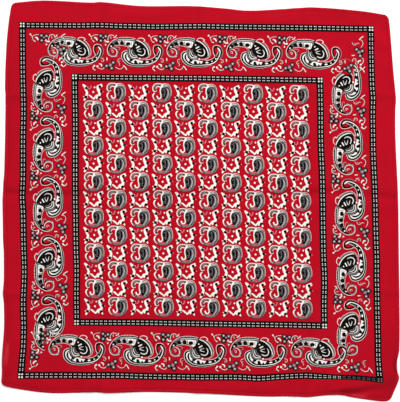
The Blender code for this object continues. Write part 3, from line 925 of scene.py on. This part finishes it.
SMALL_PAISLEY = [
    *line("grey", 1.5, (-8.2, -4.4, 0.7), (-7.2, -6.5), (-4.9, -8.1), (-1.7, -9.0), (1.6, -9.1),
          (4.2, -8.5)),
    *shape("grey", (0.2, 7.2), (2.2, 8.3), (5.0, 8.2), (7.6, 6.9), (9.0, 4.2), (9.4, 0.4),
           (9.1, -3.3), (7.6, -6.5), (4.8, -8.3), (2.4, -8.2), (1.4, -6.2), (-0.2, -3.6),
           (-1.0, 1.0)),
    *shape("black", (-0.1, 4.0), (1.6, 5.0), (3.8, 4.6), (5.2, 2.6), (5.5, -0.4), (4.6, -3.6),
           (2.8, -6.6), (1.4, -6.4), (0.6, -4.2), (0.0, -1.0), (-0.5, 2.0)),
    *line("black", 0.8, (2.8, 5.9, 0.5), (5.0, 5.5), (6.8, 4.0), (7.8, 1.6), (8.1, -1.4, 0.6)),
    *line("black", 0.5, (8.0, -2.6, 0.6), (7.0, -5.0), (5.0, -7.2)),
    *dots("black", 0.62, (-5.8, -6.6), (-4.4, -7.8), (5.4, -6.3)),
    *beads("grey", 0.6, 1.7, (2.6, 3.4), (3.0, 0.8), (2.8, -2.2), (2.2, -4.8)),
    *dots("grey", 0.5, (1.2, 2.6), (1.3, -2.0)),
    *line("white", 0.42, (0.8, 5.6), (2.8, 6.8), (5.0, 6.6)),
    *line("white", 0.36, (2.4, 7.8), (4.6, 7.7), (6.6, 6.7)),
    *beads("white", 0.36, 1.35, (6.0, 3.2), (6.8, 0.8), (6.4, -2.4), (5.4, -5.0), (3.6, -7.2)),
    *line("pink", 0.8, (-5.4, -6.6, 0.6), (-2.2, -7.4), (1.4, -7.4, 0.8)),
    *line("white", 0.36, (1.0, 8.4, 2.0), (3.6, 9.1, 1.2), (6.2, 8.6, 0.9), (8.4, 6.6, 0.8),
          (9.4, 3.6, 0.7), (9.7, 0.2, 0.7), (9.4, -3.4, 0.6)),
    *line("black", 0.36, (9.3, -3.6, 0.6), (8.0, -6.6), (5.2, -8.7), (2.4, -9.6), (-1.6, -9.8),
          (-4.8, -8.9), (-6.6, -7.6, 0.6)),
    *line("white", 0.8, (-5.8, -8.2, 0.3), (-7.4, -7.0, 0.7), (-8.5, -5.0), (-8.8, -3.0, 1.7),
          (-8.0, -1.2, 1.5), (-7.2, -0.6, 1.1)),
    *line("white", 1.2, (0.8, 7.6, 1.6), (-0.6, 5.2, 1.3), (-1.4, 2.4, 0.8), (-1.4, 0.2, 0.7),
          (-0.8, -2.2, 0.8), (-0.7, -4.4, 0.9), (-2.0, -5.9), (-3.8, -5.4, 1.1),
          (-4.5, -3.8, 1.3)),
    *line("grey", 1.7, (-6.2, 2.2, 0.9), (-7.0, 4.5), (-6.0, 6.8), (-3.7, 8.0), (-1.2, 7.3, 0.9)),
    *line("black", 0.8, (-6.0, 2.0, 1.2), (-6.9, 4.0, 0.8), (-6.4, 5.8, 0.6)),
    *line("black", 0.9, (-2.6, 7.6, 0.6), (-1.2, 6.9, 1.2)),
    *line("white", 0.9, (-4.9, 1.9, 0.5), (-6.9, 0.9, 0.6), (-8.5, 2.4), (-8.9, 4.8),
          (-8.0, 7.3, 0.9), (-6.1, 8.8, 0.8), (-3.9, 9.2, 0.7), (-1.0, 8.9, 0.8), (1.0, 8.2, 1.3)),
    *line("white", 0.8, (-5.7, 4.0, 0.6), (-5.0, 5.4, 0.8), (-3.4, 6.2), (-1.4, 5.6)),
]
FLOWER_SQUARE = [
    # leaves down the left side and down the right, each with dark seeds
    *line("white", 2.05, (-9.8, 7.2, 0.8), (-8.7, 6.2, 1.2), (-7.6, 4.4, 1.4), (-7.0, 1.7, 1.05),
          (-6.0, -0.6, 1.1), (-6.6, -3.0, 1.2), (-7.4, -5.2, 1.3), (-8.9, -7.9, 0.8)),
    *line("white", 1.2, (-7.2, 4.6), (-5.4, 4.9, 0.8)),
    *line("white", 1.2, (-9.8, -4.5, 0.7), (-7.4, -5.0), (-5.7, -5.2, 0.9)),
    *line("pink", 0.9, (-9.0, 4.0), (-7.4, 3.4), (-4.6, 3.6)),
    *line("white", 2.4, (4.5, 5.4, 0.9), (4.9, 3.2, 1.05), (6.0, 1.0, 1.15), (6.6, -1.4),
          (5.8, -3.4, 1.15), (4.0, -4.6, 0.9), (3.6, -6.2, 0.6)),
    *line("white", 1.9, (4.8, 5.6, 1.2), (6.6, 6.6, 1.2), (8.4, 7.7, 0.8)),
    *line("white", 1.5, (6.8, 5.0, 1.2), (9.4, 6.4, 0.7)),
    *line("pink", 1.4, (7.6, 1.0, 1.4), (10.2, 0.5, 0.7)),
    *line("white", 1.1, (6.2, 1.8), (8.6, 1.6, 0.7)),
    *line("white", 1.7, (5.2, -4.2, 1.4), (6.6, -5.8, 1.2), (7.6, -7.6, 0.7)),
    *line("white", 1.2, (-4.0, -3.2), (-2.8, -3.9, 1.3), (-1.8, -4.8, 1.4), (-0.7, -5.7),
          (0.6, -6.6, 1.7), (1.9, -5.2, 1.2), (3.2, -3.8, 1.8), (4.8, -2.8, 1.3)),
    *dots("black", 1.5, (-6.7, 4.0), (6.8, 5.6), (6.1, -5.2)),
    *dots("black", 1.6, (-7.4, -5.0)),
    *dots("black", 1.5, (8.1, 0.9)),
    *line("pink", 0.9, (-2.0, 6.2), (-2.3, 4.6), (-3.5, 3.2)),
    *dots("white", 0.82, (1.6, 4.8)),
    *dots("white", 0.95, (0.1, 0.1)),
]


# Printing: each motif is parted once into small flat pieces of one ink each, and those are
# laid on the cloth at every place of the motif. The inks lie on the face of the cloth and
# follow its folds.

PRINT_LINES = (-179.3, -126.0, 0.0, 126.0, 179.3)  # squares from the middle of the design
# Where those lines cross on the laid cloth, a row for each line from the near side to the far
# one: x and y in millimetres, from left to right.
PRINT_LIES = (
    ((-256.0, -248.5), (-179.0, -248.5), (-1.0, -251.0), (177.0, -250.0), (255.0, -254.5)),
    ((-251.5, -174.0), (-177.5, -174.0), (-1.0, -176.0), (177.5, -179.0), (252.0, -179.5)),
    ((-252.5, 1.5), (-179.5, 1.5), (-2.5, 0.5), (175.0, -2.0), (248.5, -3.0)),
    ((-253.0, 177.5), (-180.5, 177.5), (-4.5, 176.0), (171.0, 173.0), (243.5, 173.5)),
    ((-253.5, 250.0), (-180.0, 249.5), (-5.0, 248.0), (170.0, 246.0), (242.0, 244.5)),
)
# Tugs: where the slack cloth has drawn the print a little aside.
TUGS = (
    # place in the design, reach, and how far it is drawn in x and y, all in squares
    (-98.0, 179.0, 12.0, 0.0, 0.5),
    (-43.0, 179.0, 20.0, 0.0, -0.5),
    (8.0, 179.0, 20.0, 0.0, 0.4),
    (-82.0, -179.0, 24.0, 0.0, 0.6),
    (58.0, -179.0, 14.0, 0.0, -1.3),
    (102.0, -179.0, 18.0, 0.0, 1.3),
    (-60.0, -126.0, 36.0, 0.0, 0.4),
    (-179.0, 93.0, 22.0, 0.7, 0.0),
    (-179.0, 4.0, 12.0, -1.0, 0.0),
    (-179.0, -70.0, 20.0, 0.8, 0.0),
    (-179.0, -106.0, 16.0, -0.6, 0.0),
    (-179.0, -146.0, 14.0, 0.6, 0.0),
    (-126.0, 78.0, 30.0, 0.4, 0.0),
    (-126.0, -70.0, 16.0, 0.5, 0.0),
    (126.0, 63.0, 20.0, -0.5, 0.0),
    (126.0, -76.0, 16.0, 0.8, 0.0),
    (179.0, 104.0, 9.0, 0.8, 0.0),
    (179.0, 50.0, 30.0, -0.6, 0.0),
    (179.0, -56.0, 16.0, 0.4, 0.0),
    (179.0, -155.0, 14.0, -0.6, 0.0),
    (152.0, -177.0, 15.0, 0.0, 0.9),
)
# A pinch: where a crease along the near band has gathered it narrower.
PINCH_PLACE = (150.0, -176.1)      # its middle in the design, in squares
PINCH_REACH = (30.0, 4.9)          # how far it reaches along the band, and across it
PINCH_DEPTH = 2.5
INK_RISE = 0.00016         # the inks' height over the face of the cloth
INK_DROP = 0.00010         # and, where they come through, below its back
DRAPE_STEP = 2.2           # the widest that an ink spans without a bend, in squares


def print_place(s, t):
    """Where a place of the design, in squares from its middle, lies on the table."""
    tugs = [(np.exp(-((s - at_s) ** 2 + (t - at_t) ** 2) / reach ** 2), in_s, in_t)
            for at_s, at_t, reach, in_s, in_t in TUGS]
    s = s + sum(near * in_s for near, in_s, in_t in tugs)
    t = t + sum(near * in_t for near, in_s, in_t in tugs)
    along = (s - PINCH_PLACE[0]) / PINCH_REACH[0]
    across = (t - PINCH_PLACE[1]) / PINCH_REACH[1]
    t = t - PINCH_DEPTH * across * np.exp(-across ** 2 - along ** 4)
    lines = np.array(PRINT_LINES)
    lies = np.array(PRINT_LIES)
    column = np.clip(np.searchsorted(lines, s) - 1, 0, len(lines) - 2)
    row = np.clip(np.searchsorted(lines, t) - 1, 0, len(lines) - 2)
    u = ((s - lines[column]) / (lines[column + 1] - lines[column]))[:, None]
    v = ((t - lines[row]) / (lines[row + 1] - lines[row]))[:, None]
    near = (1 - u) * lies[row, column] + u * lies[row, column + 1]
    far = (1 - u) * lies[row + 1, column] + u * lies[row + 1, column + 1]
    return ((1 - v) * near + v * far).T * MM


def moved(drawing, s, t, turn=0):
    """A drawing put at a place of the design, turned by turn degrees."""
    c, d = math.cos(math.radians(turn)), math.sin(math.radians(turn))
    return [(ink, tuple((s + x * c - y * d, t + x * d + y * c) for x, y in outline))
            for ink, outline in drawing]


def inside(places, outline):
    """Which of the places lie inside an outline."""
    x, y = places[:, 0, None], places[:, 1, None]
    x0, y0 = outline[:, 0], outline[:, 1]
    x1, y1 = np.roll(x0, -1), np.roll(y0, -1)
    spans = (y0 > y) != (y1 > y)
    rise = np.where(y1 == y0, 1.0, y1 - y0)
    crossed = spans & (x < x0 + (y - y0) * (x1 - x0) / rise)
    return crossed.sum(axis=1) % 2 == 1


def stepped(outline):
    """An outline with points added along its long sides, so that it bends with the cloth."""
    found = []
    for a, b in zip(outline, outline[1:] + outline[:1]):
        steps = max(math.ceil(math.dist(a, b) / DRAPE_STEP), 1)
        for step in range(steps):
            share = step / steps
            found.append((a[0] + (b[0] - a[0]) * share, a[1] + (b[1] - a[1]) * share))
    return tuple(found)


def parted(drawing):
    """A drawing cut into triangles: corners, triangles, and each triangle's ink."""
    drawing = [(ink, stepped(outline)) for ink, outline in drawing]
    corners = [corner for ink, outline in drawing for corner in outline]
    outlines = []
    for ink, outline in drawing:
        first = outlines[-1][-1] + 1 if outlines else 0
        outlines.append(list(range(first, first + len(outline))))
    low, high = np.min(corners, axis=0), np.max(corners, axis=0)
    for x in np.arange(low[0] + DRAPE_STEP / 2, high[0], DRAPE_STEP):
        for y in np.arange(low[1] + DRAPE_STEP / 2, high[1], DRAPE_STEP):
            corners.append((x, y))
    cut = delaunay_2d_cdt([Vector(corner) for corner in corners], [], outlines, 0, 1e-5, False)
    corners = np.array([tuple(corner) for corner in cut[0]])
    triangles = np.array(cut[2])
    middles = corners[triangles].mean(axis=1)
    top = np.full(len(triangles), -1)
    for number, (ink, outline) in reversed(list(enumerate(drawing))):
        outline = np.array(outline)
        near = (middles > outline.min(axis=0)) & (middles < outline.max(axis=0))
        near = np.flatnonzero((top < 0) & near.all(axis=1))
        top[near[inside(middles[near], outline)]] = number
    inks = np.array([drawing[number][0] if number >= 0 else "bare" for number in top])
    return corners, triangles, inks


printed = {"black": [], "white": [], "grey": [], "pink": []}


def stamp(pieces, s=0.0, t=0.0, turn=0):
    """Prints a parted drawing at a place of the design."""
    corners, triangles, inks = pieces
    c, d = math.cos(math.radians(turn)), math.sin(math.radians(turn))
    x, y = corners[:, 0], corners[:, 1]
    there = np.stack((s + x * c - y * d, t + x * d + y * c), axis=-1)
    for ink, runs in printed.items():
        chosen = triangles[inks == ink]
        if len(chosen):
            used, numbers = np.unique(chosen, return_inverse=True)
            runs.append((there[used], numbers.reshape(-1, 3)))


CHECK_BANDS = (
    # half the side of the frame, and how many cells lie between two corners
    (179.6, 74),
    (126.3, 52),
)
FAINT_CELLS = 7            # at its near right corner the outer frame's white came out grey
for half_side, cells in CHECK_BANDS:
    length = 2 * (half_side - CORNER_CELL) / cells
    corner_pieces = {ink: parted(check_corner(ink)) for ink in ("white", "grey")}
    cell_pieces = {ink: parted(check_cell(length, ink)) for ink in ("white", "grey")}
    for turn in (0, 90, 180, 270):
        faint_cells = FAINT_CELLS if turn == 180 and half_side == CHECK_BANDS[0][0] else 0
        c, d = round(math.cos(math.radians(turn))), round(math.sin(math.radians(turn)))
        corner_at = (-half_side * c - half_side * d, half_side * c - half_side * d)
        stamp(corner_pieces["grey" if faint_cells else "white"], *corner_at, turn)
        for cell in range(cells):
            along = CORNER_CELL - half_side + (cell + 0.5) * length
            cell_at = (along * c - half_side * d, along * d + half_side * c)
            stamp(cell_pieces["grey" if cell < faint_cells else "white"], *cell_at, turn)

# The border runs: five large paisleys on each side of the cloth, all the same way round along
# the far and near sides, and turned a quarter along the other two.
PAISLEYS_A_RUN = 5
OUTER_SPRAY_AT = (-31.4, 14.2)
INNER_SPRAY_AT = (-24.1, -13.2)
BORDER_RUNS = {
    # turn, place of the first paisley along the run, pitch, places across it of the first
    # paisley and the last
    "far": (0, -123.0, 59.9, 149.4, 149.4),
    "near": (0, -122.9, 60.05, -150.6, -151.0),
    "left": (90, -124.2, 59.9, 150.4, 151.0),
    "right": (90, -125.6, 60.3, -150.7, -150.2),
}


def border_place(run, number):
    """Where one paisley of a run lies in the design."""
    turn, first, pitch, first_across, last_across = BORDER_RUNS[run]
    along = first + pitch * number
    across = first_across + (last_across - first_across) * number / (PAISLEYS_A_RUN - 1)
    return (along, across) if turn == 0 else (-across, along)


def together(drawings):
    """Drawings put side by side, each at its place from the paisley's middle."""
    return [part for drawing, (x, y) in drawings for part in moved(drawing, x, y)]


def border_motif(run, number, *drawings):
    """Drawings round one paisley of a run, put at its place of the design."""
    return moved(together(drawings), *border_place(run, number), BORDER_RUNS[run][0])


def bare_place(s, t, half_length, half_width):
    """A place of the design where the drawings under it are left out."""
    return moved(oval("bare", 0.0, 0.0, half_length, half_width), s, t)


PAISLEY = (LARGE_PAISLEY, (0.0, 0.0))
OUTER = (OUTER_SPRAY, OUTER_SPRAY_AT)
INNER = (INNER_SPRAY, INNER_SPRAY_AT)
whole_cell = parted(together((PAISLEY, OUTER, INNER)))
for run in BORDER_RUNS:
    for number in range(1, PAISLEYS_A_RUN - 1):
        stamp(whole_cell, *border_place(run, number), BORDER_RUNS[run][0])

# At the four corners two runs meet and overlap. Number 0 is a run's first paisley, 4 its last,
# and 5 the place of one more, which lends only its inner spray.
far_left = (
    border_motif("left", 4, PAISLEY, OUTER, INNER)
    + border_motif("far", 0, PAISLEY, OUTER)
    + border_motif("left", 5, INNER)
)
far_right = (
    border_motif("right", 4, PAISLEY)
    + bare_place(150.0, 136.4, 8.6, 8.0)
    + border_motif("far", 4, PAISLEY, OUTER, INNER)
    + border_motif("right", 4, OUTER, INNER)
    + border_motif("far", 5, INNER)
    + border_motif("right", 5, INNER)
)
near_left = (
    border_motif("left", 0, PAISLEY, OUTER)
    + bare_place(-149.6, -147.6, 5.8, 6.0)
    + border_motif("near", 0, PAISLEY, OUTER)
)
near_right = (
    border_motif("right", 0, PAISLEY)
    + border_motif("near", 4, PAISLEY, OUTER, INNER)
    + border_motif("near", 5, INNER)
)
for corner in (far_left, far_right, near_left, near_right):
    stamp(parted(corner))

FIELD_COLUMNS = 10
FIELD_ROWS = 13
COLUMN_PITCH = 22.9
ROW_PITCH = 17.9
FIELD_MIDDLE = (-1.6, 0.6)
field_pieces = (parted(FLOWER_SQUARE), parted(SMALL_PAISLEY))
for column in range(FIELD_COLUMNS):
    for row in range(FIELD_ROWS):
        s = FIELD_MIDDLE[0] + (column - (FIELD_COLUMNS - 1) / 2) * COLUMN_PITCH
        t = FIELD_MIDDLE[1] + ((FIELD_ROWS - 1) / 2 - row) * ROW_PITCH
        stamp(field_pieces[(row + column) % 2], s, t)

INK_FINISHES = (
    # ink, colour, how much it varies in patches and from thread to thread
    ("black", (0.0032, 0.0017, 0.0018), 0.10, 0.30),
    ("white", (0.75, 0.72, 0.67), 0.03, 0.10),
    ("grey", (0.158, 0.142, 0.146), 0.06, 0.20),
    ("pink", (0.50, 0.167, 0.208), 0.05, 0.15),
)
REVERSE_FINISHES = (
    # what has come through to the back of the cloth
    ("black", (0.100, 0.0038, 0.0083), 0.20, 0.30),
    ("white", (0.42, 0.087, 0.104), 0.20, 0.30),
)


def ink_layer(name, ink, finish, height, face_down=False):
    """All of one ink, at a height over the lie of the cloth."""
    colour, mottle, slub = finish
    corners = np.concatenate([run[0] for run in printed[ink]])
    starts = np.cumsum([0] + [len(run[0]) for run in printed[ink]])
    triangles = np.concatenate([run[1] + start for run, start in zip(printed[ink], starts)])
    x, y = print_place(corners[:, 0], corners[:, 1])
    p, q = on_the_square(x, y)
    vertices = np.stack((x, y, lift(p, q) + height), axis=-1)
    if face_down:
        triangles = triangles[:, ::-1]
    ink_cotton = cotton(name, colour, mottle=mottle, slub=slub)
    # the inks carry the same painted shade and highlights along the creases
    return make_piece(name, vertices, triangles, ink_cotton, painted_shade_and_highlight(p, q))


for ink, *finish in INK_FINISHES:
    layer = ink_layer("print_" + ink, ink, finish, CLOTH_FACE + INK_RISE)
for ink, *finish in REVERSE_FINISHES:
    layer = ink_layer("reverse_" + ink, ink, finish, CLOTH_BACK - INK_DROP, face_down=True)


# The setting: the bandana lies on a plain, nearly white surface under one large soft lamp,
# a little stronger from the far side, and is seen from straight above.

FLOOR_HALF = 3.0
FLOOR_WHITE = (0.94, 0.94, 0.94)
FLOOR_ROUGHNESS = 0.9
FLOOR_GLOSS = 0.1
ROOM_LIGHT = 0.65          # light from all round
VIEW_WIDTH = 0.5625        # width of the surface in view
VIEW_HEIGHT = 2.60         # camera above the cloth
SENSOR = 36.0

floor_mesh = bpy.data.meshes.new("floor")
corners = [(x * FLOOR_HALF, y * FLOOR_HALF, 0.0) for x, y in ((-1, -1), (1, -1), (1, 1), (-1, 1))]
floor_mesh.from_pydata(corners, [], [(0, 1, 2, 3)])
floor_paint = bpy.data.materials.new("floor_paint")
floor_paint.use_nodes = True
paint = floor_paint.node_tree.nodes["Principled BSDF"]
paint.inputs["Base Color"].default_value = (*FLOOR_WHITE, 1.0)
paint.inputs["Roughness"].default_value = FLOOR_ROUGHNESS
paint.inputs["Specular IOR Level"].default_value = FLOOR_GLOSS
floor_mesh.materials.append(floor_paint)
floor = bpy.data.objects.new("floor", floor_mesh)
bpy.context.scene.collection.objects.link(floor)

SOFT_LAMPS = (
    # name, place, size, power, all in metres and watts
    ("overhead_lamp", (0.5, 1.0, 2.1), 1.8, 44.0),
    ("far_lamp", (0.1, 2.2, 1.2), 1.2, 16.0),
)
for name, place, size, power in SOFT_LAMPS:
    lamp = bpy.data.lights.new(name, 'AREA')
    lamp.shape = 'SQUARE'
    lamp.size = size
    lamp.energy = power
    light = bpy.data.objects.new(name, lamp)
    light.location = place
    light.rotation_euler = (-Vector(place)).to_track_quat('-Z', 'Y').to_euler()
    bpy.context.scene.collection.objects.link(light)

world = bpy.data.worlds.new("studio")
world.use_nodes = True
sky = world.node_tree.nodes["Background"]
sky.inputs["Color"].default_value = (1.0, 1.0, 1.0, 1.0)
sky.inputs["Strength"].default_value = ROOM_LIGHT
bpy.context.scene.world = world
bpy.context.scene.view_settings.view_transform = 'Standard'

lens = bpy.data.cameras.new("camera")
lens.sensor_width = SENSOR
lens.lens = SENSOR * VIEW_HEIGHT / VIEW_WIDTH
lens.clip_end = 20.0
camera = bpy.data.objects.new("camera", lens)
camera.location = (-MIDDLE_X, -MIDDLE_Y, VIEW_HEIGHT)
bpy.context.scene.collection.objects.link(camera)
bpy.context.scene.camera = camera
